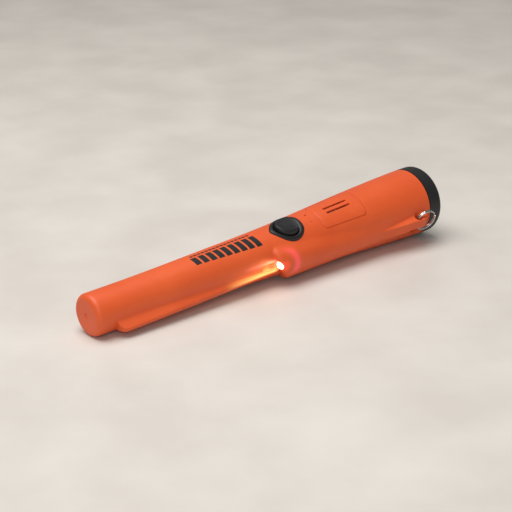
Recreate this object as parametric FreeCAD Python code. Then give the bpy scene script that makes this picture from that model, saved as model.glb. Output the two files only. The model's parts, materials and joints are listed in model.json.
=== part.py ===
"""Waterproof handheld probe for pinpointing buried metal, one STEP file per piece.

The probe is modelled along +X, nose face at x = 0 and battery cap at the far end, push button on
top (+Z) and the scraping blade, lamp and lanyard lug on its -Y side. It is then laid down as it
rests on a table: nose rim and rear barrel on Z = 0, rolled a little towards its -Y side.
"""
import FreeCAD, Part
import math
import os

from FreeCAD import Vector

# Driving dimensions, millimetres -------------------------------------------------------------
LENGTH = 229.0            # nose face to cap end
NOSE_EDGE = 2.8           # rounding of the nose rim
STATIONS = [(2.8, 11.0), (30.0, 11.15), (75.0, 12.25), (118.0, 13.6),
            (150.0, 15.6), (180.0, 17.45), (206.0, 18.65), (219.0, 19.05)]   # (x, barrel radius)
WALL = 2.0                # moulded wall
NOSE_WALL = 2.4           # moulded nose face
HOUSING_END = 219.0       # orange housing stops, black cap begins
ROLL = 20.0               # resting roll, degrees, button leans towards -Y
GAP = 0.3                 # between pieces that move past each other

SHOULDER_X = 111.0        # front face of the side bulge, at the lamp's height
SHOULDER_RAKE = 22.0      # that face leans back below the lamp, degrees
SHOULDER_EDGE = 3.6       # rounding of that face's rim
BULGE = [(111.0, 10.6, 7.8), (208.0, 6.4, 12.6)]    # (x, radius, offset towards -Y)
BLADE_ANGLE = 97.0        # from the button round towards -Y, degrees
BLADE_REACH = 16.0        # blade edge from the probe axis

LUG_HOLE = (208.0, -19.5)       # x, y of the lanyard hole, which runs along Z
LUG_HOLE_R = 1.8
LUG_Z = 3.6                     # middle of the lug, a little above the widest line of the barrel
LUG_UPPER = [(176.0, 3.4), (188.0, 4.6), (198.0, 5.8), (205.0, 6.6), (220.0, 6.6)]     # (x, z)
LUG_LOWER = [(176.0, -1.6), (188.0, -1.8), (198.0, -0.6), (205.0, 0.6), (220.0, 0.6)]
LUG_BACK = [(178.0, -17.0), (188.0, -19.0), (198.0, -20.9), (208.0, -22.2), (213.4, -21.5), (216.2, -18.2)]
RING_R = 6.1                    # split ring, centre line radius
RING_WIRE_R = 0.45              # one turn of its wire
RING_REACH = 5.75               # ring centre from the hole's axis
RING_ANGLE = 8.0                # ring leans out from the barrel, degrees

LAMP = (113.0, -14.2, 3.0)      # centre of the lamp's dome
LAMP_R = 2.5

PANEL = (144.7, 175.0, 9.4, 10.4)    # speaker cover: x ends, half widths at front and rear
PANEL_CORNER = 2.6
PANEL_DEPTH = 1.1
SLOT = (151.4, 168.0, 1.7, 1.1)      # cover slots: x ends, distance from centre line, width
SPEAKER_X = 159.8

BUTTON_X = 123.6
SURROUND = [(113.5, 0.0), (115.4, 3.3), (119.6, 7.1), (124.8, 9.0), (130.2, 7.9), (133.6, 3.8)]
BUTTON = [(117.2, 0.0), (118.6, 3.2), (121.6, 5.3), (125.6, 6.3), (129.0, 5.2), (130.0, 1.8)]
SURROUND_RISE = 0.6
BUTTON_RISE = 2.5
BUTTON_FOOT = -0.6           # underside of the button, against the barrel's outside
BUTTON_TRAVEL = 1.0
PLUNGER_TRAVEL = 0.3

BOARD = (80.0, 168.0, 8.4, -0.8, 0.8)    # x ends, half width, underside and top
TRAY_FLOOR = -6.2

COLLAR_R = 16.5           # threaded collar, outside
COLLAR_BORE = 15.25
COLLAR_X = (213.0, 225.0)
THREAD_PITCH = 3.0
THREAD_RISE = 0.75
THREAD_X = 221.5             # both ridges start here, half a turn apart
CAP_BORE = 17.6
CAP_WALL_X = 225.4        # inner face of the cap's end wall
CAP_EDGE = 2.8
COIN_SLOT = (21.0, 2.6, 1.8)    # length, width, depth

BATTERY = (177.6, 224.0, 26.2, 17.2)    # x ends, width, height
CELL_R = 4.1
BATTERY_CENTRE_Z = 0.0

MOTOR = (131.0, 142.0, -12.2, -2.6, 3.0)    # x ends, y, z, can radius

X_AXIS = Vector(1, 0, 0)
Z_AXIS = Vector(0, 0, 1)


# Plain shapes --------------------------------------------------------------------------------
def rod(x0, x1, r, y=0.0, z=0.0):
    """Round bar along X."""
    return Part.makeCylinder(r, x1 - x0, Vector(x0, y, z), X_AXIS)


def tube(x0, x1, r_out, r_in):
    """Tube along X on the probe's axis."""
    return rod(x0, x1, r_out).cut(rod(x0 - 1, x1 + 1, r_in))


def post(x, y, z0, z1, r):
    """Round bar along Z."""
    return Part.makeCylinder(r, z1 - z0, Vector(x, y, z0), Z_AXIS)


def block(x0, x1, y0, y1, z0, z1):
    """Box between two corners."""
    return Part.makeBox(x1 - x0, y1 - y0, z1 - z0, Vector(x0, y0, z0))


def solids(shapes):
    """Several solids in one node."""
    return Part.makeCompound(shapes)


def line(a, b):
    return Part.LineSegment(a, b).toShape()


def smooth_outline(half):
    """Closed smooth outline in the XY plane from one half, mirrored about the X axis."""
    right = [Vector(x, y, 0) for x, y in half]
    left = [Vector(x, -y, 0) for x, y in reversed(half) if y > 0]
    curve = Part.BSplineCurve()
    curve.interpolate(right + left, PeriodicFlag=True)
    return Part.Face(Part.Wire(curve.toShape()))


def barrel_curve(rise):
    """The barrel's side line, raised by rise, as an edge in the XY plane."""
    curve = Part.BSplineCurve()
    curve.interpolate([Vector(x, r + rise, 0) for x, r in STATIONS])
    return curve.toShape()


def turned(edges):
    """Solid of revolution about X from the edges of a closed outline."""
    return Part.Face(Part.Wire(Part.__sortEdges__(edges))).revolve(Vector(), X_AXIS, 360)


def barrel(rise):
    """The whole barrel from its rounded nose to the housing's end, its radius raised by rise."""
    start = Vector(STATIONS[0][0], STATIONS[0][1] + rise, 0)
    end = Vector(HOUSING_END, STATIONS[-1][1] + rise, 0)
    rim = Vector(0, start.y - NOSE_EDGE, 0)
    corner = NOSE_EDGE * (1 - math.sqrt(0.5))
    edges = [line(Vector(), rim), Part.Arc(rim, Vector(corner, start.y - corner, 0), start).toShape()]
    edges += [barrel_curve(rise), line(end, Vector(end.x, 0, 0)), line(Vector(end.x, 0, 0), Vector())]
    return turned(edges)


def bulge(rise, front_x):
    """Side bulge: a long cone lying against the barrel, raised by rise, with its raked front at front_x."""
    (x0, r0, off0), (x1, r1, off1) = BULGE
    rings = []
    for x in (front_x - 6, x1):
        part = (x - x0) / (x1 - x0)
        centre = Vector(x, -(off0 + part * (off1 - off0)), 0)
        circle = Part.Circle(centre, X_AXIS, r0 + part * (r1 - r0) + rise)
        rings.append(Part.Wire(circle.toShape()))
    front = block(-40, 0, -60, 60, -60, 60)
    front.rotate(Vector(), Vector(0, 1, 0), -SHOULDER_RAKE)
    front.translate(Vector(front_x, 0, LAMP[2]))
    return Part.makeLoft(rings, True, True).cut(front)


def skin(outline, low, high):
    """The piece of barrel wall under an outline, between two rises, on the button side."""
    prism = outline.extrude(Vector(0, 0, 40))
    return prism.common(barrel(high).cut(barrel(low)))


def panel_outline(inset):
    """Speaker cover outline with rounded corners, shrunk by inset."""
    x0, x1, front, rear = PANEL
    corners = [(x0 + inset, front - inset), (x1 - inset, rear - inset)]
    corners += [(x1 - inset, inset - rear), (x0 + inset, inset - front)]
    plate = Part.Face(Part.makePolygon([Vector(x, y, 0) for x, y in corners + corners[:1]]))
    solid = plate.extrude(Z_AXIS)
    upright = [e for e in solid.Edges if abs(e.tangentAt(e.FirstParameter).z) > 0.9]
    solid = solid.makeFillet(PANEL_CORNER - inset, upright)
    return [f for f in solid.Faces if f.CenterOfMass.z < 0.01][0]


def thread(radius, rise, start, turns):
    """Raised helical thread along X from x = start, outwards for rise > 0, inwards below 0."""
    spine = Part.Wire(Part.makeHelix(THREAD_PITCH, turns * THREAD_PITCH, radius).Edges)
    root, tip = 0.6, 0.25
    sink = -0.06 if rise > 0 else 0.06
    section = [(radius + sink, -root), (radius + rise, -tip), (radius + rise, tip), (radius + sink, root)]
    profile = Part.makePolygon([Vector(r, 0, z) for r, z in section + section[:1]])
    ridge = spine.makePipeShell([profile], True, True)
    ridge.rotate(Vector(), Vector(0, 1, 0), 90)
    ridge.translate(Vector(start, 0, 0))
    return ridge


def wire(points, r):
    """A lead: straight runs joined by tangent arcs, each as large as its runs allow."""
    points = [Vector(*p) for p in points]
    edges, radii, here = [], [], points[0]
    for before, at, after in zip(points, points[1:], points[2:]):
        back, ahead = before - at, after - at
        short = 0.45 * min(back.Length, ahead.Length)
        back.normalize()
        ahead.normalize()
        half = 0.5 * back.getAngle(ahead)
        first, last = at + back * short, at + ahead * short
        inward = (back + ahead).normalize()
        radius = short * math.tan(half)
        middle = at + inward * (radius / math.sin(half) - radius)
        edges += [line(here, first), Part.Arc(first, middle, last).toShape()]
        radii.append(radius)
        here = last
    edges.append(line(here, points[-1]))
    spine = Part.Wire(edges)
    section = Part.Wire(Part.Circle(points[0], points[1] - points[0], r).toShape())
    lead = spine.makePipeShell([section], True, True)
    expected = spine.Length * math.pi * r * r
    smallest = min(radii) if radii else 0
    print(f"wire {spine.Length:.1f} mm, volume {lead.Volume / expected:.3f} of expected, radius {smallest:.1f}")
    return lead


# Housing -------------------------------------------------------------------------------------
def blade():
    """Scraping blade: a long low fin whose edge runs from beside the nose to the bulge."""
    edge = [Vector(10.6, 10.4, 0), Vector(11.4, 13.6, 0), Vector(14.6, BLADE_REACH, 0)]
    top = [Vector(20.0, BLADE_REACH, 0), Vector(57.0, 15.1, 0), Vector(100.0, 13.7, 0), Vector(113.0, 13.4, 0)]
    root_r = 8.8
    outline = [Part.Arc(edge[0], edge[1], edge[2]).toShape(), line(edge[2], top[0])]
    outline += [line(a, b) for a, b in zip(top, top[1:])]
    outline += [line(top[-1], Vector(113.0, root_r, 0)), line(Vector(113.0, root_r, 0), Vector(10.6, root_r, 0))]
    outline += [line(Vector(10.6, root_r, 0), edge[0])]
    plate = Part.Face(Part.Wire(outline)).extrude(Vector(0, 0, 10))
    plate.translate(Vector(0, 0, -5))
    section = [(root_r, -3.6), (BLADE_REACH + 0.5, -1.0), (BLADE_REACH + 0.5, 1.0), (root_r, 3.6)]
    wedge = Part.Face(Part.makePolygon([Vector(0, r, z) for r, z in section + section[:1]]))
    fin = plate.common(wedge.extrude(Vector(120, 0, 0)))
    fin.rotate(Vector(), X_AXIS, 90 + BLADE_ANGLE)
    return fin


def lug():
    """Ridge along the bulge that ends in a thin lug for the lanyard ring."""
    back = Part.BSplineCurve()
    back.interpolate([Vector(*p, 0) for p in LUG_BACK])
    start, last = Vector(*LUG_BACK[0], 0), Vector(*LUG_BACK[-1], 0)
    foot, heel = Vector(215.6, -14, 0), Vector(start.x, -14, 0)
    outline = [back.toShape(), line(last, foot), line(foot, heel), line(heel, start)]
    plate = Part.Face(Part.Wire(outline)).extrude(Vector(0, 0, 20))
    plate.translate(Vector(0, 0, -10))
    edges = []
    for side in (LUG_UPPER, LUG_LOWER):
        curve = Part.BSplineCurve()
        curve.interpolate([Vector(x, z, 0) for x, z in side])
        edges.append(curve.toShape())
    for end in (0, -1):
        edges.append(line(Vector(*LUG_UPPER[end], 0), Vector(*LUG_LOWER[end], 0)))
    plan = Part.Face(Part.Wire(Part.__sortEdges__(edges))).extrude(Vector(0, 0, 30))
    plan.rotate(Vector(), X_AXIS, 90)
    return plate.common(plan)


def lug_hole():
    """Lanyard hole through the lug, widening into scoops beside it."""
    x, y = LUG_HOLE
    hole = post(x, y, LUG_Z - 8, LUG_Z + 8, LUG_HOLE_R)
    for side in (-1, 1):
        mouth = Vector(x, y, LUG_Z + side * 1.9)
        flare = Part.makeCone(LUG_HOLE_R, LUG_HOLE_R + 1.0, 2.4, mouth, Z_AXIS * side)
        hole = hole.fuse(flare)
    return hole


def main_housing():
    """One-piece moulding: barrel, closed nose, side bulge, blade and lanyard lug."""
    side = bulge(0.0, SHOULDER_X)
    rim = [e for e in side.Edges if e.BoundBox.XMax < SHOULDER_X + 12]
    side = side.makeFillet(SHOULDER_EDGE, rim)
    shell = barrel(0.0).fuse([side, blade(), lug()])
    hollow = barrel(-WALL).common(block(NOSE_WALL, COLLAR_X[0] - 0.4, -30, 30, -30, 30))
    hollow = hollow.fuse(rod(COLLAR_X[0] - 0.6, LENGTH, COLLAR_R + 0.02))
    hollow = hollow.fuse(bulge(-WALL, SHOULDER_X + 3.0).cut(block(196, 230, -40, 40, -40, 40)))
    shell = shell.cut(hollow)
    shell = shell.cut(rod(SHOULDER_X - 10, LAMP[0] + 7, LAMP_R + 0.05, LAMP[1], LAMP[2]))
    shell = shell.cut(skin(panel_outline(0.0), -PANEL_DEPTH - 0.1, 1.0))
    shell = shell.cut(post(SPEAKER_X, 0, 8, 30, 7.0))
    shell = shell.cut(skin(smooth_outline(SURROUND), -1.1, 1.0))
    shell = shell.cut(post(BUTTON_X, 0, 6, 30, 2.6))
    shell = shell.cut(skin(smooth_outline(widened(BUTTON, GAP)), -WALL - 1.0, 1.0))
    return shell.cut(lug_hole())


def widened(half, by):
    """A half outline moved outwards by about the same amount everywhere."""
    middle = 0.5 * (half[0][0] + half[-1][0])
    reach = 0.5 * (half[-1][0] - half[0][0])
    return [(x + by * (x - middle) / reach, y * (1 + by / 6.0)) for x, y in half]


def speaker_cover():
    """Flush cover plate over the speaker, with two sound slots."""
    plate = skin(panel_outline(0.16), -PANEL_DEPTH, 0.0)
    x0, x1, off, width = SLOT
    for y in (-off, off):
        plate = plate.cut(block(x0, x1, y - width / 2, y + width / 2, 5, 30))
    return plate


# Button --------------------------------------------------------------------------------------
def button_surround():
    """Soft rubber bezel set into the barrel round the button."""
    bezel = skin(smooth_outline(SURROUND), -1.05, SURROUND_RISE)
    return bezel.cut(smooth_outline(widened(BUTTON, GAP)).extrude(Vector(0, 0, 40)))


def button_cap():
    """Push button, proud of the bezel."""
    return skin(smooth_outline(BUTTON), BUTTON_FOOT, BUTTON_RISE)


def button_post():
    """Post under the button that reaches the switch."""
    top = Part.makeCylinder(2.0, 20, Vector(BUTTON_X, 0, 5.9), Z_AXIS)
    return top.common(barrel(BUTTON_FOOT))


def tactile_switch():
    """Square tactile switch body on the board."""
    body = block(BUTTON_X - 3, BUTTON_X + 3, -3, 3, BOARD[4], 4.3)
    return body.cut(post(BUTTON_X, 0, 3.4, 5, 1.75))


def switch_plunger():
    return post(BUTTON_X, 0, 3.8, 5.1, 1.7)


# Nose coils ----------------------------------------------------------------------------------
WINDINGS = [(8.0, 22.8, 6.6), (24.4, 51.6, 7.4), (53.2, 68.0, 6.6)]    # x ends, outer radius
FORMER_R = 5.0
FLANGE = 1.2


def coil_former():
    """Bobbin with a flange each side of every winding and a tail that meets the tray."""
    body = tube(6.6, 76.0, FORMER_R, 4.2)
    for x0, x1, r in WINDINGS:
        body = body.fuse(tube(x0 - FLANGE, x0, 8.4, 4.6))
        body = body.fuse(tube(x1, x1 + FLANGE - 0.4, 8.4, 4.6))
    return body


def winding(index):
    x0, x1, r = WINDINGS[index]
    return tube(x0, x1, r, FORMER_R)


def coil_spacers():
    """Two foam rings that centre the bobbin in the barrel."""
    return solids([tube(6.9, 7.9, 8.95, 8.4), tube(67.9, 68.9, 9.6, 8.4)])


def ferrite_core():
    return rod(6.8, 72.0, 4.15)


def nose_cushion():
    return rod(2.5, 6.5, 7.2)


# Electronics ---------------------------------------------------------------------------------
SCREW_SPOTS = [(84.0, -5.6), (84.0, 5.6), (164.5, -5.6), (164.5, 5.6)]


def electronics_tray():
    """Open channel that carries the board on four posts."""
    tray = block(77.0, 170.8, -8.0, 8.0, TRAY_FLOOR, TRAY_FLOOR + 1.2)
    for side in (-1, 1):
        rail = block(88.0, 160.0, 7.0, 8.0, TRAY_FLOOR, -0.9)
        if side < 0:
            rail = block(88.0, 160.0, -8.0, -7.0, TRAY_FLOOR, -0.9)
        tray = tray.fuse(rail)
    for x, y in SCREW_SPOTS:
        tray = tray.fuse(post(x, y, TRAY_FLOOR, BOARD[3], 2.0))
    tray = tray.fuse(block(74.4, 78.0, -4.0, 4.0, TRAY_FLOOR, -5.05))
    for x, y in SCREW_SPOTS:
        tray = tray.cut(post(x, y, -4.5, 0, 0.8))
    return tray


def main_board():
    x0, x1, half, low, high = BOARD
    board = block(x0, x1, -half, half, low, high)
    for x, y in SCREW_SPOTS:
        board = board.cut(post(x, y, low - 1, high + 1, 1.1))
    return board


def board_screws():
    """Pan-head self-tapping screws."""
    screws = []
    for x, y in SCREW_SPOTS:
        screws.append(post(x, y, -4.2, BOARD[4], 0.78).fuse(post(x, y, BOARD[4], BOARD[4] + 1.2, 1.8)))
    return solids(screws)


def board_chips():
    """Controller, two amplifiers and a regulator."""
    spots = [(98.0, 0.0, 7.0, 7.0, 1.0), (108.5, -3.0, 5.0, 4.0, 1.5), (108.5, 3.0, 5.0, 4.0, 1.5)]
    spots += [(139.0, 3.5, 3.0, 3.0, 1.1)]
    top = BOARD[4]
    return solids([block(x - w / 2, x + w / 2, y - d / 2, y + d / 2, top, top + h) for x, y, w, d, h in spots])


def capacitors():
    """Upright electrolytic capacitors."""
    return solids([post(x, y, BOARD[4], 6.4, 2.0) for x, y in ((90.0, -3.5), (90.0, 3.5), (115.5, 0.0))])


def led_lens():
    """Clear round-nosed lamp with its rim behind the shoulder."""
    x, y, z = LAMP
    body = rod(x, x + 5.2, LAMP_R, y, z).fuse(Part.makeSphere(LAMP_R, Vector(x, y, z)))
    return body


def led_base():
    """Rubber plug that holds the lamp from behind."""
    x, y, z = LAMP
    return rod(x + 5.2, x + 6.6, LAMP_R, y, z)


def led_leads():
    x, y, z = LAMP
    paths = []
    for side in (-0.9, 0.9):
        points = [(x + 6.6, y, z + side), (x + 10.0, y, z + side), (x + 14.5, y + 3.2, z + 1.0 + side)]
        points += [(x + 17.5 + side, y + 7.2, z + 0.8 + 0.3 * side), (x + 17.5 + side, y + 7.2, BOARD[4])]
        paths.append(wire(points, 0.35))
    return solids(paths)


# Speaker -------------------------------------------------------------------------------------
def speaker_frame():
    ring = post(SPEAKER_X, 0, 5.4, 8.8, 10.0)
    return ring.cut(post(SPEAKER_X, 0, 6.2, 9.0, 9.0)).cut(post(SPEAKER_X, 0, 5.0, 7.0, 5.2))


def speaker_magnet():
    return post(SPEAKER_X, 0, 3.2, 6.0, 5.2).fuse(post(SPEAKER_X, 0, 3.2, 5.4, 6.5))


def speaker_cone():
    outer = Part.makeCone(3.0, 8.9, 1.6, Vector(SPEAKER_X, 0, 6.9), Z_AXIS)
    inner = Part.makeCone(2.6, 8.5, 1.6, Vector(SPEAKER_X, 0, 7.2), Z_AXIS)
    dome = Part.makeCylinder(3.0, 0.3, Vector(SPEAKER_X, 0, 6.9), Z_AXIS)
    return outer.cut(inner).fuse(dome)


def speaker_membrane():
    """Thin waterproof sheet over the speaker."""
    return post(SPEAKER_X, 0, 8.85, 9.15, 9.6)


def speaker_gasket():
    """Foam ring squeezed between the membrane and the barrel's wall."""
    ring = post(SPEAKER_X, 0, 9.2, 16.0, 9.4).cut(post(SPEAKER_X, 0, 9.0, 17.0, 7.6))
    return ring.common(barrel(-WALL - 0.05))


def speaker_leads():
    paths = []
    for y in (-1.2, 1.2):
        points = [(153.4, y, 4.6), (150.6, y, 4.4), (148.6, y * 1.6, 3.0), (147.8, y * 1.9, BOARD[4])]
        paths.append(wire(points, 0.3))
    return solids(paths)


# Vibration motor -----------------------------------------------------------------------------
def motor_can():
    x0, x1, y, z, r = MOTOR
    return rod(x0, x1, r, y, z).cut(rod(x1 - 2.0, x1 + 1, 0.45, y, z))


def motor_boot():
    """Rubber block moulded to the bulge's inside, which holds the motor."""
    x0, x1, y, z, r = MOTOR
    boot = block(x0 + 0.6, x1 - 1.4, y - 5, y + 3.3, z - 3.6, z + 3.6)
    room = bulge(-WALL - 0.05, SHOULDER_X + 3.0)
    return boot.common(room).cut(rod(x0 - 1, x1 + 1, r, y, z))


def motor_shaft():
    x0, x1, y, z, r = MOTOR
    return rod(x1 - 1.9, x1 + 4.6, 0.4, y, z)


def motor_weight():
    """Half-round eccentric weight on the motor's shaft."""
    x0, x1, y, z, r = MOTOR
    weight = rod(x1 + 0.9, x1 + 4.2, 2.6, y, z)
    weight = weight.cut(block(x1, x1 + 5, y - 4, y + 4, z + 0.9, z + 5))
    return weight.cut(rod(x1, x1 + 5, 0.4, y, z))


def motor_leads():
    x0, x1, y, z, r = MOTOR
    paths = []
    for side in (-0.8, 0.8):
        points = [(x0, y + side, z), (x0 - 2.4, y + side, z), (x0 - 3.8, y + 2.0 + 0.5 * side, z + 2.0)]
        points += [(x0 - 3.8, y + 2.6 + 0.5 * side, z + 4.8), (x0 - 4.6 + side, y + 4.8, z + 4.8)]
        points += [(x0 - 4.6 + side, y + 4.8, BOARD[4])]
        paths.append(wire(points, 0.3))
    return solids(paths)


def coil_leads():
    """Four enamelled wires from the coils to the board."""
    paths = []
    for y in (-2.4, -0.8, 0.8, 2.4):
        points = [(68.8, y, 6.2), (73.0, y, 6.0), (78.6, y * 1.2, 4.2), (82.4, y * 1.3, 2.6)]
        points += [(84.0, y * 1.3, BOARD[4])]
        paths.append(wire(points, 0.2))
    return solids(paths)


# Battery bay ---------------------------------------------------------------------------------
LEAD_HOLE_Z = 2.6        # battery leads pass through the bulkhead at this height


def battery_bulkhead():
    """Disc that closes the electronics off and carries the battery contacts."""
    disc = rod(171.0, 173.4, 14.6)
    for y in (-3.0, 3.0):
        disc = disc.cut(rod(170, 175, 0.9, y, LEAD_HOLE_Z))
    return disc


def contact_springs():
    """Two bent bronze leaves that press on the battery's terminals."""
    leaves = []
    for y in (-6.35, 6.35):
        points = [(173.4, 4.0), (174.0, 4.0), (175.4, 1.0), (175.4, -1.0), (174.0, -4.0), (173.4, -4.0)]
        points += [(173.4, -3.4), (173.7, -3.4), (174.95, -0.9), (174.95, 0.9), (173.7, 3.4), (173.4, 3.4)]
        leaf = Part.Face(Part.makePolygon([Vector(x, 0, z) for x, z in points + points[:1]]))
        leaf = leaf.extrude(Vector(0, 4.0, 0))
        leaf.translate(Vector(0, y - 2.0, 0))
        leaves.append(leaf)
    return solids(leaves)


def battery_leads():
    paths = []
    for y in (-3.0, 3.0):
        points = [(173.0, y, LEAD_HOLE_Z), (167.2, y, LEAD_HOLE_Z), (167.2, y, BOARD[4])]
        paths.append(wire(points, 0.5))
    return solids(paths)


def rounded_bar(x0, x1, width, height, corner):
    """Bar along X with rounded long edges."""
    bar = block(x0, x1, -width / 2, width / 2, -height / 2, height / 2)
    long_edges = [e for e in bar.Edges if abs(e.tangentAt(e.FirstParameter).x) > 0.9]
    bar = bar.makeFillet(corner, long_edges)
    bar.translate(Vector(0, 0, BATTERY_CENTRE_Z))
    return bar


def battery_jacket():
    """Thin steel jacket of the battery."""
    x0, x1, width, height = BATTERY
    outer = rounded_bar(x0 + 0.6, x1 - 0.6, width, height, 2.0)
    return outer.cut(rounded_bar(x0, x1, width - 0.6, height - 0.6, 1.7))


def battery_cells():
    """Six slim cells in two rows of three."""
    x0, x1, width, height = BATTERY
    spots = [(y, z) for y in (-8.4, 0.0, 8.4) for z in (-4.13, 4.13)]
    return solids([rod(x0 + 1.8, x1 - 1.8, CELL_R, y, z + BATTERY_CENTRE_Z) for y, z in spots])


def battery_end_plates():
    """Moulded plates folded into each end of the jacket."""
    x0, x1, width, height = BATTERY
    front = rounded_bar(x0, x0 + 1.6, width - 0.8, height - 0.8, 1.6)
    rear = rounded_bar(x1 - 1.6, x1, width - 0.8, height - 0.8, 1.6)
    return solids([front, rear])


def battery_terminals():
    """Round and six-sided snap studs."""
    x0 = BATTERY[0]
    stud = rod(x0 - 1.9, x0, 2.8, 6.35, BATTERY_CENTRE_Z)
    corners = [Vector(x0 - 1.9, -6.35 + 4.2 * math.cos(a), BATTERY_CENTRE_Z + 4.2 * math.sin(a))
               for a in (math.radians(60 * i) for i in range(7))]
    hexagon = Part.Face(Part.makePolygon(corners)).extrude(Vector(1.9, 0, 0))
    return solids([stud, hexagon.cut(rod(x0 - 3, x0 + 1, 3.0, -6.35, BATTERY_CENTRE_Z))])


def battery_pad():
    """Foam disc between the battery and the cap."""
    return rod(BATTERY[1], BATTERY[1] + 1.1, 8.0)


# Screw-on cap --------------------------------------------------------------------------------
def thread_collar():
    """Threaded collar bonded into the housing's rear."""
    collar = tube(COLLAR_X[0], COLLAR_X[1], COLLAR_R, COLLAR_BORE)
    return collar.fuse(thread(COLLAR_R, THREAD_RISE, THREAD_X, 0.9))


def cap_o_ring():
    ring = Part.makeTorus(COLLAR_R + 0.62, 0.6, Vector(HOUSING_END + 0.62, 0, 0), X_AXIS)
    return ring


def battery_cap():
    """Screw cap with a coin slot across its end."""
    front, end, outer = HOUSING_END + GAP, LENGTH, STATIONS[-1][1]
    corner = CAP_EDGE * (1 - math.sqrt(0.5))
    rim = Vector(end - CAP_EDGE, outer, 0)
    edges = [line(Vector(front, 0, 0), Vector(front, outer, 0)), line(Vector(front, outer, 0), rim)]
    edges += [Part.Arc(rim, Vector(end - corner, outer - corner, 0),
                       Vector(end, outer - CAP_EDGE, 0)).toShape()]
    edges += [line(Vector(end, outer - CAP_EDGE, 0), Vector(end, 0, 0))]
    edges += [line(Vector(end, 0, 0), Vector(front, 0, 0))]
    cap = turned(edges).cut(rod(front - 1, CAP_WALL_X, CAP_BORE))
    cap = cap.cut(rod(front - 1, front + 1.4, CAP_BORE + 0.5))
    length, width, depth = COIN_SLOT
    cap = cap.cut(block(end - depth, end + 1, -length / 2, length / 2, -width / 2, width / 2))
    ridge = thread(CAP_BORE, -THREAD_RISE, THREAD_X, 0.6)
    ridge.rotate(Vector(), X_AXIS, 180)
    return cap.fuse(ridge)


def lanyard_ring():
    """Split ring of two turns, hung through the lug and leaning back beside the cap."""
    x, y = LUG_HOLE
    turns = []
    for level in (-RING_WIRE_R, RING_WIRE_R):
        turn = Part.makeTorus(RING_R, RING_WIRE_R * 1.02, Vector(RING_REACH, level, 0), Vector(0, 1, 0))
        turns.append(turn)
    ring = turns[0].fuse(turns[1])
    ring.rotate(Vector(), Z_AXIS, -RING_ANGLE)
    ring.translate(Vector(x, y, LUG_Z))
    return ring


# The whole probe -----------------------------------------------------------------------------
NODES = {
    "main_housing": main_housing, "speaker_cover": speaker_cover, "button_surround": button_surround,
    "button_cap": button_cap, "button_post": button_post, "tactile_switch": tactile_switch,
    "switch_plunger": switch_plunger, "led_lens": led_lens, "led_base": led_base, "led_leads": led_leads,
    "nose_cushion": nose_cushion, "ferrite_core": ferrite_core, "coil_former": coil_former,
    "receive_coil_front": lambda: winding(0), "transmit_coil": lambda: winding(1),
    "receive_coil_rear": lambda: winding(2), "coil_spacers": coil_spacers, "coil_leads": coil_leads,
    "electronics_tray": electronics_tray, "main_board": main_board, "board_screws": board_screws,
    "board_chips": board_chips, "capacitors": capacitors, "speaker_frame": speaker_frame,
    "speaker_magnet": speaker_magnet, "speaker_cone": speaker_cone, "speaker_membrane": speaker_membrane,
    "speaker_gasket": speaker_gasket, "speaker_leads": speaker_leads, "motor_can": motor_can,
    "motor_boot": motor_boot, "motor_shaft": motor_shaft, "motor_weight": motor_weight,
    "motor_leads": motor_leads, "battery_bulkhead": battery_bulkhead, "contact_springs": contact_springs,
    "battery_leads": battery_leads, "battery_jacket": battery_jacket, "battery_cells": battery_cells,
    "battery_end_plates": battery_end_plates, "battery_terminals": battery_terminals,
    "battery_pad": battery_pad, "thread_collar": thread_collar, "cap_o_ring": cap_o_ring,
    "battery_cap": battery_cap, "lanyard_ring": lanyard_ring,
}


def resting_turn():
    """Roll towards the blade, then lower the nose until its rim and the rear barrel are level."""
    (x0, r0), (x1, r1) = STATIONS[0], STATIONS[-2]
    tilt = math.degrees(math.atan((r1 - r0) / (x1 - x0)))
    return FreeCAD.Rotation(Vector(0, 1, 0), -tilt).multiply(FreeCAD.Rotation(X_AXIS, ROLL))


def resting_placement(outside):
    """Turn as it rests, with the outside pieces' box standing on Z = 0 and centred on the origin."""
    turn = resting_turn()
    whole = Part.makeCompound(outside)
    whole.Placement = FreeCAD.Placement(Vector(), turn)
    box = whole.optimalBoundingBox(True, False)
    return FreeCAD.Placement(Vector(-box.Center.x, -box.Center.y, -box.ZMin), turn)


PIECES = {name: make() for name, make in NODES.items()}
REST = resting_placement([PIECES[name] for name in ("main_housing", "battery_cap", "lanyard_ring")])
os.makedirs("parts", exist_ok=True)
for name, shape in PIECES.items():
    shape.Placement = REST.multiply(shape.Placement)
    shape.exportStep(f"parts/{name}.step")
    print(f"{name}: {len(shape.Solids)} solids, {shape.Volume:.0f} mm3, valid {shape.isValid()}")
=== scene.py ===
import json
import math

import bmesh
import bpy
import numpy as np
from mathutils import Matrix, Vector


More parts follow.
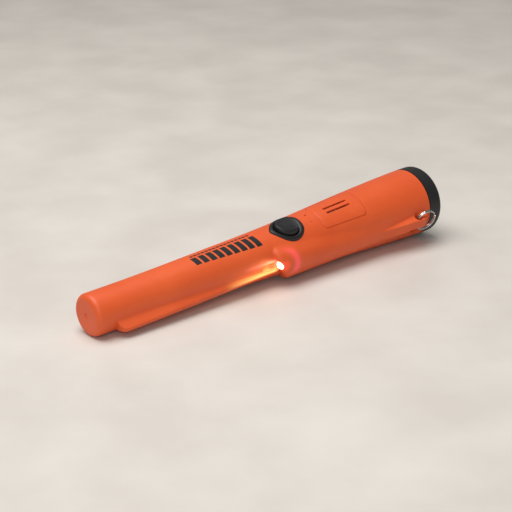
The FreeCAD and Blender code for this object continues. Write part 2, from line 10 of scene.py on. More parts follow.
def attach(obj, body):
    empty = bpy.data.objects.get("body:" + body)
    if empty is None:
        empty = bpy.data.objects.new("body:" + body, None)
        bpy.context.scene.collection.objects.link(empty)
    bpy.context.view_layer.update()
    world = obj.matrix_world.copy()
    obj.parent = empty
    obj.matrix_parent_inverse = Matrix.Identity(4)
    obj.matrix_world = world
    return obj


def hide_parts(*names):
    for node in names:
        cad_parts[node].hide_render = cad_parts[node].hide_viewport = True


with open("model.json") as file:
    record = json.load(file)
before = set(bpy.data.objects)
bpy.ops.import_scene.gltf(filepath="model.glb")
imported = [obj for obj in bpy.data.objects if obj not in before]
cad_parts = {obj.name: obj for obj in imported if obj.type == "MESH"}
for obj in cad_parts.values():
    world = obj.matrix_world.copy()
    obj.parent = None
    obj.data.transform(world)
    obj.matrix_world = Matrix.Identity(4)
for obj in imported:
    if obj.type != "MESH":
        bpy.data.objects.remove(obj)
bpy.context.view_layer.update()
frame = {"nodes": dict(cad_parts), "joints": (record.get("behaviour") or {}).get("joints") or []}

# How the probe lies ---------------------------------------------------------------------------
# The probe rests on its side, nose down and rolled towards its blade. The cap's hinge gives the
# barrel's line and the button's slide gives the way out of the button, so both come from the frame.
joints = {joint["name"]: joint for joint in frame["joints"]}
ALONG = Vector(joints["cap_turn"]["axis"]).normalized()
UP = -Vector(joints["button_press"]["axis"]).normalized()
ACROSS = UP.cross(ALONG)
HOUSING_END = 219.0
NOSE = Vector(joints["cap_turn"]["pos_m"]) - ALONG * HOUSING_END / 1000
MM = 0.001


def laid(points):
    """The probe's own millimetres (along, across, out of the button) as metres where it lies."""
    points = np.asarray(points, float).reshape(-1, 3) * MM
    return points @ np.array([ALONG, ACROSS, UP]) + np.array(NOSE)


def unit(x, y, z):
    """A direction in the probe's own axes, turned as it lies."""
    return (ALONG * x + ACROSS * y + UP * z).normalized()


# Camera ---------------------------------------------------------------------------------------
# A long lens low over the nose end, looking down the barrel from the blade and lamp side.
CAMERA_TURN, CAMERA_RISE = math.radians(-40.1), math.radians(21.74)
CAMERA_AWAY = 0.7817
LENS_MM = 103.95
AIM_AT = (115.0, 0.0, 0.0)
AIM_RIGHT, AIM_UP = 0.00595, 0.00223
back = Vector((math.sin(CAMERA_TURN) * math.cos(CAMERA_RISE),
               -math.cos(CAMERA_TURN) * math.cos(CAMERA_RISE), math.sin(CAMERA_RISE)))
turned = (-back).to_track_quat("-Z", "Y")
aim = Vector(laid(AIM_AT)[0])
camera = bpy.data.objects.new("camera", bpy.data.cameras.new("camera"))
camera.data.lens = LENS_MM
camera.data.clip_start = 0.01
camera.rotation_mode = "QUATERNION"
camera.rotation_quaternion = turned
camera.location = (aim + back * CAMERA_AWAY - turned @ Vector((1, 0, 0)) * AIM_RIGHT
                   - turned @ Vector((0, 1, 0)) * AIM_UP)
bpy.context.scene.collection.objects.link(camera)
bpy.context.scene.camera = camera


# Table and light ------------------------------------------------------------------------------
# A plain pale table top under one large overhead soft box, a weaker one from the viewer's side
# and an even grey room.
def hex_colour(code):
    """An sRGB hex value as linear red, green, blue and alpha."""
    parts = [int(code[i:i + 2], 16) / 255 for i in (1, 3, 5)]
    linear = [p / 12.92 if p <= 0.04045 else ((p + 0.055) / 1.055) ** 2.4 for p in parts]
    return (*linear, 1.0)


def add_node(tree, kind, inputs=(), **settings):
    """One shader or geometry node with its settings; inputs holds values or sockets to link."""
    node = tree.nodes.new(kind)
    for name, value in settings.items():
        setattr(node, name, value)
    for key, value in dict(inputs).items():
        socket = node.inputs[key]
        if isinstance(value, bpy.types.NodeSocket):
            tree.links.new(value, socket)
        else:
            socket.default_value = value
    return node


def new_material(name):
    """A material with an empty Principled shader: (material, node tree, shader)."""
    material = bpy.data.materials.new(name)
    material.use_nodes = True
    tree = material.node_tree
    return material, tree, tree.nodes["Principled BSDF"]


def probe_millimetres(tree):
    """Object coordinates turned into the probe's own axes, in millimetres."""
    place = add_node(tree, "ShaderNodeTexCoord")
    turn = Matrix((ALONG, ACROSS, UP))
    return add_node(tree, "ShaderNodeMapping", {
        "Vector": place.outputs["Object"],
        "Location": -(turn @ NOSE) / MM,
        "Rotation": turn.to_euler(),
        "Scale": (1 / MM, 1 / MM, 1 / MM),
    }).outputs["Vector"]


def textured(name, colours, gloss, grain, stretch=(1, 1, 1), metallic=0.0, relief=0.0):
    """A material that wanders between two colours: grain is the mottle's size in millimetres, stretch
    draws it out along the probe's axes and relief is its height in millimetres."""
    material, tree, shader = new_material(name)
    place = add_node(tree, "ShaderNodeMapping", {"Vector": probe_millimetres(tree), "Scale": stretch})
    spots = add_node(tree, "ShaderNodeTexNoise", {"Vector": place.outputs["Vector"], "Scale": 1 / grain,
                                                  "Detail": 4.0})
    tone = add_node(tree, "ShaderNodeValToRGB", {"Fac": spots.outputs["Fac"]})
    for element, position, colour in zip(tone.color_ramp.elements, (0.35, 0.7), colours):
        element.position = position
        element.color = hex_colour(colour)
    tree.links.new(tone.outputs["Color"], shader.inputs["Base Color"])
    shine = add_node(tree, "ShaderNodeMapRange", {"Value": spots.outputs["Fac"], "To Min": gloss[0],
                                                  "To Max": gloss[1]})
    tree.links.new(shine.outputs["Result"], shader.inputs["Roughness"])
    shader.inputs["Metallic"].default_value = metallic
    if relief:
        bump = add_node(tree, "ShaderNodeBump", {"Height": spots.outputs["Fac"], "Distance": relief * MM})
        tree.links.new(bump.outputs["Normal"], shader.inputs["Normal"])
    return material


def dress(names, material):
    """Gives the design's own pieces a material."""
    for name in names:
        materials = frame["nodes"][name].data.materials
        materials.clear()
        materials.append(material)


TABLE_SIDE = 6.0
TABLE_GAP = 0.00005
bpy.ops.mesh.primitive_plane_add(size=TABLE_SIDE, location=(0, 0, -TABLE_GAP))
table = bpy.context.object
table.name = "table"
table.data.materials.append(textured("pale_matt_laminate", ("#cfc8c0", "#d9d3cb"), (0.5, 0.6), 50.0))

SOFT_BOXES = [("overhead_box", (-0.25, 0.10, 1.10), 0.9, 13.0), ("viewer_box", (-0.9, -1.1, 0.75), 0.8, 5.0)]
for name, place, side, watts in SOFT_BOXES:
    lamp = bpy.data.objects.new(name, bpy.data.lights.new(name, "AREA"))
    lamp.data.size = side
    lamp.data.energy = watts
    lamp.location = place
    lamp.rotation_mode = "QUATERNION"
    lamp.rotation_quaternion = Vector(place).to_track_quat("Z", "Y")
    bpy.context.scene.collection.objects.link(lamp)

ROOM_LIGHT = 0.42
room = bpy.data.worlds.new("room")
room.use_nodes = True
room.node_tree.nodes["Background"].inputs["Color"].default_value = hex_colour("#d8d6d2")
room.node_tree.nodes["Background"].inputs["Strength"].default_value = ROOM_LIGHT
bpy.context.scene.world = room
bpy.context.scene.view_settings.view_transform = "Standard"

# Housing --------------------------------------------------------------------------------------
# One injection moulding in orange ABS: tapered barrel with a closed nose, a side bulge whose front
# face carries the lamp, a scraping blade along the barrel and a lanyard lug at the rear.
BARREL = [(2.8, 11.0), (30.0, 11.15), (75.0, 12.25), (118.0, 13.6),
          (150.0, 15.6), (180.0, 17.45), (206.0, 18.65), (219.0, 19.05)]
NOSE_EDGE = 2.8
WALL, NOSE_WALL = 2.0, 2.4
NOSE_INNER_R = 9.0
COLLAR_SEAT_R, COLLAR_SEAT_X = 16.52, 212.4
REAR_EDGE = 0.3
SHOULDER_X = 111.0
SHOULDER_RAKE = math.tan(math.radians(22.0))
RAKE_BLEND = (96.0, 110.9, 118.0, 134.0)
SHOULDER_EDGE = 3.6
LAMP = (113.0, -14.2, 3.0)
LAMP_BORE = (101.0, 120.0, 2.55)
BULGE_END, BULGE_INNER_END = 208.0, 196.0
BULGE_R = (10.6, 6.4)
BULGE_OFFSET = (7.8, 12.6)
BULGE_CREASE = 1.8
BLADE_ANGLE = math.radians(97.0)
BLADE_START, BLADE_ROUND, BLADE_REACH = 10.6, 4.0, 16.0
BLADE_TIP_DROP = 5.6
BLADE_TOP = [(14.6, 16.0), (20.0, 16.0), (57.0, 15.1), (100.0, 13.7), (113.0, 13.4)]
BLADE_FLANK = 0.338
BLADE_ROOT = 6.57
BLADE_FILLET = 0.9
LUG_BACK = [(178.0, 17.0), (188.0, 19.0), (198.0, 20.9), (208.0, 22.2), (213.4, 21.5), (216.2, 18.2)]
LUG_UPPER = [(176.0, 3.4), (188.0, 4.6), (198.0, 5.8), (205.0, 6.6), (220.0, 6.6)]
LUG_LOWER = [(176.0, -1.6), (188.0, -1.8), (198.0, -0.6), (205.0, 0.6), (220.0, 0.6)]
LUG_EDGE, LUG_FILLET = 1.6, 1.2
LUG_HOLE = (208.0, -19.5, 3.6)
LUG_HOLE_R, LUG_COUNTERSINK_R = 1.8, 2.8
SPEAKER_X, SPEAKER_HOLE_R = 159.8, 7.0


def smooth_line(knots):
    """Natural cubic spline through (x, value) knots, as a function of x."""
    x, value = np.array(knots, float).T
    step = np.diff(x)
    slope = np.diff(value) / step
    system = np.eye(len(x))
    right = np.zeros(len(x))
    for i in range(1, len(x) - 1):
        system[i, i - 1:i + 2] = step[i - 1], 2 * (step[i - 1] + step[i]), step[i]
        right[i] = 6 * (slope[i] - slope[i - 1])
    bend = np.linalg.solve(system, right)

    def at(p):
        i = np.clip(np.searchsorted(x, p) - 1, 0, len(step) - 1)
        a = (x[i + 1] - p) / step[i]
        b = 1 - a
        curve = (a ** 3 - a) * bend[i] + (b ** 3 - b) * bend[i + 1]
        return a * value[i] + b * value[i + 1] + curve * step[i] ** 2 / 6
    return at


barrel_radius = smooth_line(BARREL)
lug_back = smooth_line(LUG_BACK)
lug_upper = smooth_line(LUG_UPPER)
lug_lower = smooth_line(LUG_LOWER)


def soft_max(a, b, width):
    """The larger of two heights, with a fillet where they cross."""
    near = np.maximum(width - np.abs(a - b), 0) / width
    return np.maximum(a, b) + near * near * width / 4


def soft_min(a, b, width):
    """The smaller of two heights, with a round where they cross."""
    return -soft_max(-a, -b, width)


def bulge_reach(x, angle, shrink):
    """How far the side bulge reaches from the barrel's axis at each angle from the button."""
    part = (x - SHOULDER_X) / (BULGE_END - SHOULDER_X)
    radius = BULGE_R[0] + part * (BULGE_R[1] - BULGE_R[0]) - shrink
    offset = BULGE_OFFSET[0] + part * (BULGE_OFFSET[1] - BULGE_OFFSET[0])
    side = angle - math.pi / 2
    inside = radius ** 2 - (offset * np.sin(side)) ** 2
    return np.where(inside > 0, offset * np.cos(side) + np.sqrt(np.maximum(inside, 0)), 0)


def blade_reach(x, angle):
    """How far the blade's wedge reaches at each angle."""
    if x < BLADE_START + BLADE_ROUND:
        part = (BLADE_START + BLADE_ROUND - x) / BLADE_ROUND
        top = BLADE_REACH - BLADE_TIP_DROP * (1 - math.sqrt(max(0.0, 1 - part * part)))
    else:
        top = np.interp(x, *np.array(BLADE_TOP).T)
    turn = np.abs(angle - BLADE_ANGLE)
    flank = BLADE_ROOT / (np.sin(np.minimum(turn, 1.5)) + BLADE_FLANK)
    return np.where(turn < 0.7, soft_min(flank, top, BLADE_FILLET), 0)


def lug_reach(x, angle):
    """How far the lanyard lug and its ridge reach at each angle."""
    out, level = np.maximum(np.sin(angle), 0.05), np.cos(angle)
    upper = lug_upper(x) / np.maximum(level, 0.001)
    reach = soft_min(lug_back(x) / out, upper, LUG_EDGE)
    low = lug_lower(x)
    if low < 0:
        beneath = -low / np.maximum(-level, 0.001)
    else:
        beneath = np.where(level * lug_back(x) > low, np.inf, 0.0)
    return np.where(out > 0.5, np.minimum(reach, beneath), 0)


def raked(x, angle):
    """Where a ring of points at x lies once the shoulder's face leans back below the lamp."""
    level = np.maximum(bulge_reach(SHOULDER_X, angle, 0.0), barrel_radius(SHOULDER_X)) * np.cos(angle)
    part = np.interp(x, RAKE_BLEND, (0.0, 1.0, 1.0, 0.0))
    return x + part * part * (3 - 2 * part) * SHOULDER_RAKE * (LAMP[2] - level)


def outside(x, angle):
    """The housing's outer surface: distance from the axis at each angle."""
    leaning = raked(x, angle)
    reach = barrel_radius(leaning)
    if BLADE_START < x < SHOULDER_X:
        reach = soft_max(reach, blade_reach(x, angle), BLADE_FILLET)
    if SHOULDER_X <= x < BULGE_END + 6:
        past = SHOULDER_EDGE - min(x - SHOULDER_X, SHOULDER_EDGE)
        shrink = SHOULDER_EDGE - math.sqrt(SHOULDER_EDGE ** 2 - past ** 2)
        crease = BULGE_CREASE * min(1.0, 0.15 + (x - SHOULDER_X) / 12)
        reach = soft_max(reach, bulge_reach(leaning, angle, shrink), crease)
    if LUG_BACK[0][0] < x < LUG_BACK[-1][0]:
        reach = soft_max(reach, lug_reach(x, angle), LUG_FILLET)
    return reach


def inside(x, angle):
    """The housing's inner surface."""
    leaning = raked(x, angle)
    reach = barrel_radius(leaning) - WALL
    if SHOULDER_X + 3.0 <= x <= BULGE_INNER_END:
        reach = np.maximum(reach, bulge_reach(leaning, angle, WALL))
    return reach


def spread(start, end, step):
    """Evenly spaced stations from start up to, but not at, end."""
    return list(np.linspace(start, end, max(2, round((end - start) / step) + 1))[:-1])


def join_rings(name, rings, loop=False):
    """A smooth closed mesh through rings of points; loop joins the last ring to the first."""
    count = len(rings[0])
    faces = []
    pairs = list(zip(range(len(rings) - 1), range(1, len(rings))))
    if loop:
        pairs.append((len(rings) - 1, 0))
    else:
        faces += [tuple(range(count))[::-1], tuple(range((len(rings) - 1) * count, len(rings) * count))]
    for a, b in pairs:
        for i in range(count):
            j = (i + 1) % count
            faces.append((a * count + i, a * count + j, b * count + j, b * count + i))
    mesh = bpy.data.meshes.new(name)
    mesh.from_pydata(laid(np.concatenate(rings)), [], faces)
    shape = bmesh.new()
    shape.from_mesh(mesh)
    bmesh.ops.recalc_face_normals(shape, faces=shape.faces)
    shape.to_mesh(mesh)
    shape.free()
    piece = bpy.data.objects.new(name, mesh)
    bpy.context.scene.collection.objects.link(piece)
    return piece


def soften(piece, degrees=32):
    """Smooth shading, sharp where faces meet at more than an angle."""
    piece.data.polygons.foreach_set("use_smooth", [True] * len(piece.data.polygons))
    piece.data.set_sharp_from_angle(angle=math.radians(degrees))


def settle(piece):
    """Replaces a piece's mesh by what its modifiers make of it, without the empty material slot that
    a mesh made by nodes starts with."""
    bpy.context.view_layer.update()
    graph = bpy.context.evaluated_depsgraph_get()
    mesh = bpy.data.meshes.new_from_object(piece.evaluated_get(graph))
    piece.modifiers.clear()
    piece.data = mesh
    if len(mesh.materials) > 1 and mesh.materials[0] is None:
        mesh.materials.pop(index=0)


def carve(piece, cutters):
    """Cuts the cutters out of a piece and throws them away."""
    for cutter in cutters:
        cut = piece.modifiers.new("cut", "BOOLEAN")
        cut.operation = "DIFFERENCE"
        cut.solver = "EXACT"
        cut.object = cutter
    settle(piece)
    for cutter in cutters:
        bpy.data.objects.remove(cutter)


def ring_at(x, reach, angle):
    """Points round the axis at x; x and reach may differ from angle to angle."""
    return np.stack([x + 0 * angle, -reach * np.sin(angle), reach * np.cos(angle)], 1)


def on_barrel(x, y, rise):
    """A point over or under the barrel's skin on the button side."""
    x, y = np.asarray(x, float), np.asarray(y, float)
    reach = barrel_radius(x) + rise
    return np.stack([x, y, np.sqrt(np.maximum(reach ** 2 - y ** 2, 0))], -1)


def housing_shell():
    """The moulding's outer and inner skins, closed at the rear rim."""
    busy = np.radians(np.arange(64.0, 118.0, 0.75))
    calm = np.radians(np.arange(118.0, 424.0, 3.0))
    angle = np.concatenate([busy, calm])
    rings = []
    for part in (0.25, 0.5, 0.75, 0.9):
        rings.append(ring_at(0.0, np.full_like(angle, part * (BARREL[0][1] - NOSE_EDGE)), angle))
    for turn in np.radians(np.arange(0.0, 90.0, 11.25)):
        reach = BARREL[0][1] - NOSE_EDGE * (1 - math.sin(turn))
        rings.append(ring_at(NOSE_EDGE * (1 - math.cos(turn)), np.full_like(angle, reach), angle))
    stations = spread(2.8, 10.2, 1.8) + spread(10.2, 15.4, 0.3) + spread(15.4, 106.0, 2.4)
    stations += spread(106.0, SHOULDER_X - 0.02, 1.6) + [SHOULDER_X - 0.02]
    for x in stations:
        rings.append(ring_at(raked(x, angle), outside(x, angle), angle))
    stations = [SHOULDER_X + d for d in (0.0, 0.06, 0.2, 0.45, 0.8, 1.25, 1.8, 2.5, 3.2)]
    stations += spread(SHOULDER_X + 3.9, 171.0, 1.9) + spread(171.0, 200.0, 1.0) + spread(200.0, 218.7, 0.45)
    for x in stations:
        rings.append(ring_at(raked(x, angle), outside(x, angle), angle))
    rim = BARREL[-1][1]
    for turn in np.radians((0.0, 30.0, 60.0, 90.0)):
        x = HOUSING_END - REAR_EDGE * (1 - math.sin(turn))
        reach = rim - REAR_EDGE * (1 - math.cos(turn))
        rings.append(ring_at(x, np.full_like(angle, reach), angle))
    rings.append(ring_at(HOUSING_END, np.full_like(angle, COLLAR_SEAT_R), angle))
    rings.append(ring_at(COLLAR_SEAT_X, np.full_like(angle, COLLAR_SEAT_R), angle))
    stations = spread(NOSE_WALL, SHOULDER_X + 2.98, 6.0) + [SHOULDER_X + 2.98, SHOULDER_X + 3.0]
    stations += spread(116.0, BULGE_INNER_END, 5.0)
    stations += [BULGE_INNER_END, BULGE_INNER_END + 0.02, 204.0, COLLAR_SEAT_X]
    for x in reversed(stations):
        rings.append(ring_at(raked(x, angle), inside(x, angle), angle))
    for part in (0.6, 0.2):
        rings.append(ring_at(NOSE_WALL, np.full_like(angle, part * NOSE_INNER_R), angle))
    return join_rings("housing_moulding", rings)


def inset_line(outline, inset):
    """A flat outline drawn in by inset."""
    ahead = np.roll(outline, -1, 0) - np.roll(outline, 1, 0)
    normal = np.stack([ahead[:, 1], -ahead[:, 0]], 1)
    normal /= np.linalg.norm(normal, axis=1, keepdims=True)
    if np.sum(normal * (outline - outline.mean(0))) < 0:
        normal = -normal
    return outline - normal * inset


def outline_ring(outline, scale, inset, rise):
    """An outline drawn in by inset, scaled about its middle and laid on the barrel at a height."""
    middle = np.array([(outline[:, 0].min() + outline[:, 0].max()) / 2, 0.0])
    points = middle + (inset_line(outline, inset) - middle) * scale
    return on_barrel(points[:, 0], points[:, 1], rise)


def closed_curve(half, count):
    """A smooth closed outline from one half, mirrored about the barrel's line."""
    points = [(x, y) for x, y in half] + [(x, -y) for x, y in reversed(half) if y > 0]
    points = np.array(points, float)
    total = len(points)
    where = np.linspace(0, total, count, endpoint=False)
    i = where.astype(int)
    t = (where - i)[:, None]
    a, b, c, d = (points[(i + k) % total] for k in (-1, 0, 1, 2))
    return 0.5 * (2 * b + (c - a) * t + (2 * a - 5 * b + 4 * c - d) * t ** 2
                  + (3 * b - 3 * c + d - a) * t ** 3)


PANEL = (144.7, 175.0, 9.4, 10.4)
PANEL_CORNER = 2.6
SURROUND = [(113.5, 0.0), (115.4, 3.3), (119.6, 7.1), (124.8, 9.0), (130.2, 7.9), (133.6, 3.8)]
BUTTON = [(117.2, 0.0), (118.6, 3.2), (121.6, 5.3), (125.6, 6.3), (129.0, 5.2), (130.0, 1.8)]
surround_line = closed_curve(SURROUND, 96)
button_line = closed_curve(BUTTON, 96)


def panel_line():
    """The speaker cover's outline: a tapered rectangle with round corners."""
    x0, x1, front, rear = PANEL
    points = []
    r = PANEL_CORNER
    corners = [(x1 - r, rear - r, 0), (x0 + r, front - r, 90),
               (x0 + r, r - front, 180), (x1 - r, r - rear, 270)]
    for x, y, start in corners:
        for turn in np.radians(np.linspace(start, start + 90, 9)):
            points.append((x + r * math.cos(turn), y + r * math.sin(turn)))
    dense = []
    for a, b in zip(points, points[1:] + points[:1]):
        count = max(1, round(math.dist(a, b) / 2.2))
        dense += [(a[0] + (b[0] - a[0]) * k / count, a[1] + (b[1] - a[1]) * k / count) for k in range(count)]
    return np.array(dense)


def pit(name, outline, profile):
    """A cutter under an outline: profile rows are (scale, inset, height over the skin)."""
    return join_rings(name, [outline_ring(outline, *row) for row in profile])


def round_bar(name, start, end, radii):
    """A round cutter from start to end, its radius running through radii."""
    start, end = Vector(start), Vector(end)
    line = (end - start).normalized()
    side = line.orthogonal().normalized()
    other = line.cross(side)
    rings = []
    for part, radius in radii:
        centre = start.lerp(end, part)
        turns = np.linspace(0, 2 * math.pi, 40, endpoint=False)
        rings.append([centre + side * radius * math.cos(t) + other * radius * math.sin(t) for t in turns])
    return join_rings(name, [np.array(ring) for ring in rings])


def moulded_abs():
    """Orange ABS, injection moulded with a fine spark-eroded texture: a soft broad shine, faint flow
    shading, small scuffs, and a painted glow: emitted colour that stands in for the lamp's light shining
    through and along the wall."""
    material, tree, shader = new_material("orange_moulded_abs")
    place = probe_millimetres(tree)
    flow = add_node(tree, "ShaderNodeTexNoise", {"Vector": place, "Scale": 0.035, "Detail": 4.0,
                                                 "Roughness": 0.6})
    base = add_node(tree, "ShaderNodeValToRGB", {"Fac": flow.outputs["Fac"]})
    base.color_ramp.elements[0].position = 0.3
    base.color_ramp.elements[0].color = hex_colour("#d9531f")
    base.color_ramp.elements[1].position = 0.7
    base.color_ramp.elements[1].color = hex_colour("#e25c26")
    drawn = add_node(tree, "ShaderNodeMapping", {"Vector": place, "Rotation": (0.0, 0.2, 0.9),
                                                 "Scale": (0.12, 2.4, 1.1)})
    scuffs = add_node(tree, "ShaderNodeTexNoise", {"Vector": drawn.outputs["Vector"], "Scale": 1.0,
                                                   "Detail": 5.0})
    worn = add_node(tree, "ShaderNodeMapRange", {"Value": scuffs.outputs["Fac"], "From Min": 0.64,
                                                 "From Max": 0.74})
    faint = add_node(tree, "ShaderNodeMath", {0: worn.outputs["Result"], 1: 0.35}, operation="MULTIPLY")
    light = add_node(tree, "ShaderNodeMixRGB", {"Fac": faint.outputs[0], "Color1": base.outputs["Color"],
                                                "Color2": hex_colour("#e97c4c")})
    tree.links.new(light.outputs["Color"], shader.inputs["Base Color"])
    sheen = add_node(tree, "ShaderNodeMapRange", {"Value": flow.outputs["Fac"], "To Min": 0.40,
                                                  "To Max": 0.50})
    tree.links.new(sheen.outputs["Result"], shader.inputs["Roughness"])
    # The real texture is about 0.1 mm across; it is drawn at 0.5 mm so that it shows.
    pebbles = add_node(tree, "ShaderNodeTexNoise", {"Vector": place, "Scale": 2.0, "Detail": 3.0})
    relief = add_node(tree, "ShaderNodeBump", {"Height": pebbles.outputs["Fac"], "Strength": 0.10,
                                               "Distance": 0.2 * MM})
    tree.links.new(relief.outputs["Normal"], shader.inputs["Normal"])
    # Painted light: emitted colour that stands in for the lamp shining through and along the wall.
    painted_lamp_glow(tree, shader, place)
    return material


# Reach of the painted lamp glow, and the heights over which the painted beam streaks run, in millimetres.
GLOW_REACH = 20.0
STREAK_LEVELS = (-2.4, 9.0)


def painted_lamp_glow(tree, shader, place):
    """Painted lamp light on the wall, as emitted colour: a painted red glow through it behind the shoulder
    and painted warm streaks of the beam along it in front.
    """
    def fade(value, start, end):
        return add_node(tree, "ShaderNodeMapRange", {"Value": value, "From Min": start,
                                                     "From Max": end}).outputs["Result"]

    def tones(value, stops):
        ramp = add_node(tree, "ShaderNodeValToRGB", {"Fac": value})
        elements = ramp.color_ramp.elements
        for position, colour in stops[1:-1]:
            elements.new(position).color = hex_colour(colour)
        for element, (position, colour) in ((elements[0], stops[0]), (elements[-1], stops[-1])):
            element.position, element.color = position, hex_colour(colour)
        return ramp.outputs["Color"]

    def masked(colour, *masks):
        for mask in masks:
            colour = add_node(tree, "ShaderNodeVectorMath", {0: colour, "Scale": mask},
                              operation="SCALE").outputs["Vector"]
        return colour

    parts = add_node(tree, "ShaderNodeSeparateXYZ", {"Vector": place})
    x, y, z = (parts.outputs[axis] for axis in "XYZ")
    away = add_node(tree, "ShaderNodeVectorMath", {0: place, 1: LAMP}, operation="DISTANCE")
    # Painted glow: emitted red rings round the lamp behind the shoulder, standing in for lamp light seen
    # through the wall.
    through = masked(
        tones(fade(away.outputs["Value"], 0.0, GLOW_REACH), (
            (0.0, "#f04030"), (0.16, "#d83024"), (0.22, "#500c0a"), (0.27, "#140303"), (0.32, "#44101c"),
            (0.385, "#8a2040"), (0.45, "#962246"), (0.55, "#280810"), (0.66, "#000000"))),
        fade(x, SHOULDER_X - 1.5, SHOULDER_X + 4.5), fade(y, -9.0, -13.0), fade(z, -3.5, 1.0))
    # Painted beam light: warm emitted streaks along the barrel ahead of the shoulder, standing in for the
    # lamp's beam falling on it.
    side, ahead = fade(y, -9.5, -11.5), fade(x, SHOULDER_X + 1.5, SHOULDER_X - 1.5)
    level = fade(z, *STREAK_LEVELS)
    edge = masked(
        tones(level, (
            (0.0, "#000000"), (0.06, "#b87024"), (0.14, "#ffe488"), (0.22, "#ffd070"), (0.32, "#b45c20"),
            (0.5, "#803818"), (0.9, "#000000"))),
        fade(x, 76.0, 98.0), ahead, side)
    # A second, pinkish painted beam streak higher up the wall.
    wall = masked(
        tones(level, ((0.48, "#000000"), (0.64, "#d08474"), (0.76, "#4c1c14"), (0.92, "#000000"))),
        fade(x, 88.0, 107.0), ahead, side)
    streaks = add_node(tree, "ShaderNodeVectorMath", {0: edge, 1: wall}, operation="ADD")
    glow = add_node(tree, "ShaderNodeVectorMath", {0: through, 1: streaks.outputs["Vector"]},
                    operation="ADD")
    tree.links.new(glow.outputs["Vector"], shader.inputs["Emission Color"])
    shader.inputs["Emission Strength"].default_value = 1.0


housing = housing_shell()
groove = [(0.3, 0.0, 3.0), (1.0, -0.25, 3.0), (1.0, -0.25, 0.1), (1.0, 0.0, -0.2), (1.0, 0.0, -1.2),
          (0.7, 0.0, -1.2), (0.3, 0.0, -1.2)]
well = [(0.3, 0.0, 3.0), (1.0, -0.15, 3.0), (1.0, -0.15, 0.1), (1.0, 0.0, -0.1), (1.0, 0.0, -1.1),
        (0.6, 0.0, -1.1), (0.2, 0.0, -1.1)]
shaft = [(0.2, 0.0, 1.0), (1.0, -0.3, 1.0), (1.0, -0.3, -4.0), (0.2, 0.0, -4.0)]
x, y, z = LUG_HOLE
carve(housing, [
    round_bar("gate_mark", (-1, 0, 0), (0.25, 0, 0), [(0, 1.6), (1, 1.4)]),
    pit("panel_recess", panel_line(), groove),
    pit("surround_recess", surround_line, well),
    pit("button_well", button_line, shaft),
    round_bar("speaker_hole", (SPEAKER_X, 0, 8), (SPEAKER_X, 0, 30),
              [(0, SPEAKER_HOLE_R), (1, SPEAKER_HOLE_R)]),
    round_bar("lamp_bore", (LAMP_BORE[0], *LAMP[1:]), (LAMP_BORE[1], *LAMP[1:]),
              [(0, LAMP_BORE[2]), (1, LAMP_BORE[2])]),
    round_bar("lanyard_hole", (x, y, z - 8), (x, y, z + 8),
              [(0, LUG_COUNTERSINK_R), (0.231, LUG_COUNTERSINK_R), (0.381, LUG_HOLE_R), (0.619, LUG_HOLE_R),
               (0.769, LUG_COUNTERSINK_R), (1, LUG_COUNTERSINK_R)]),
])
soften(housing)
orange_abs = moulded_abs()
housing.data.materials.clear()
housing.data.materials.append(orange_abs)
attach(housing, "housing")
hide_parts("main_housing")

# Speaker cover --------------------------------------------------------------------------------
# A thin cover moulded in the same ABS, bonded flush into its recess, with two long sound slots.
SLOT_ENDS, SLOT_Y, SLOT_WIDTH = (151.4, 168.0), 1.7, 1.1
cover = pit("speaker_grille", panel_line(), [
    (0.2, 0.0, -1.1), (0.5, 0.0, -1.1), (0.8, 0.0, -1.1), (1.0, 0.16, -1.1), (1.0, 0.16, -0.28),
    (1.0, 0.2, -0.14), (1.0, 0.3, -0.04), (1.0, 0.46, 0.0), (0.85, 0.4, 0.0), (0.65, 0.3, 0.0),
    (0.45, 0.2, 0.0), (0.2, 0.1, 0.0)])


def slot_cutter(y):
    """A long slot with round ends and a broken edge at the outer face."""
    x0, x1 = SLOT_ENDS
    r = SLOT_WIDTH / 2
    line = []
    for turn in np.radians(np.linspace(-90, 90, 9)):
        line.append((x1 - r + r * math.cos(turn), y + r * math.sin(turn)))
    for turn in np.radians(np.linspace(90, 270, 9)):
        line.append((x0 + r + r * math.cos(turn), y + r * math.sin(turn)))
    line = np.array(line)
    middle = np.array([(x0 + x1) / 2, y])
    rings = []
    for rise, grow in ((-2.5, 0.0), (-0.2, 0.0), (0.1, 0.2), (2.0, 0.2)):
        away = line - middle
        away[:, 0] -= np.clip(away[:, 0], r - (x1 - x0) / 2, (x1 - x0) / 2 - r)
        away /= np.linalg.norm(away, axis=1, keepdims=True)
        points = line + away * grow
        rings.append(on_barrel(points[:, 0], points[:, 1], rise))
    return join_rings("slot", rings)


carve(cover, [slot_cutter(SLOT_Y), slot_cutter(-SLOT_Y)])
soften(cover)
cover.data.materials.clear()
cover.data.materials.append(orange_abs)
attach(cover, "housing")
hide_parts("speaker_cover")


# Button and its surround ----------------------------------------------------------------------
# Black silicone rubber, compression moulded: a guitar-pick bezel with a raised lip, bonded into the
# housing, and a separate push button with a shallow dished top, standing in the well at its middle.
WELL_GAP = 0.3


def between(part, rise):
    """A ring part of the way from the button's well out to the bezel's edge."""
    well_line = inset_line(button_line, -WELL_GAP)
    points = well_line + (surround_line - well_line) * part
    return on_barrel(points[:, 0], points[:, 1], rise)


bezel_profile = [(0.0, -1.0), (0.0, 0.1), (0.05, 0.35), (0.14, 0.55), (0.26, 0.72), (0.42, 0.86),
                 (0.58, 0.92), (0.72, 0.84), (0.84, 0.62), (0.93, 0.34), (0.98, 0.08), (0.995, -0.2),
                 (0.995, -1.0), (0.5, -1.02)]
bezel = join_rings("button_bezel", [between(part, rise) for part, rise in bezel_profile], loop=True)
soften(bezel, 50)
rubber = textured("black_silicone_rubber", ("#09090b", "#151517"), (0.38, 0.55), 1.5, relief=0.02)
bezel.data.materials.append(rubber)
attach(bezel, "housing")
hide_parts("button_surround")

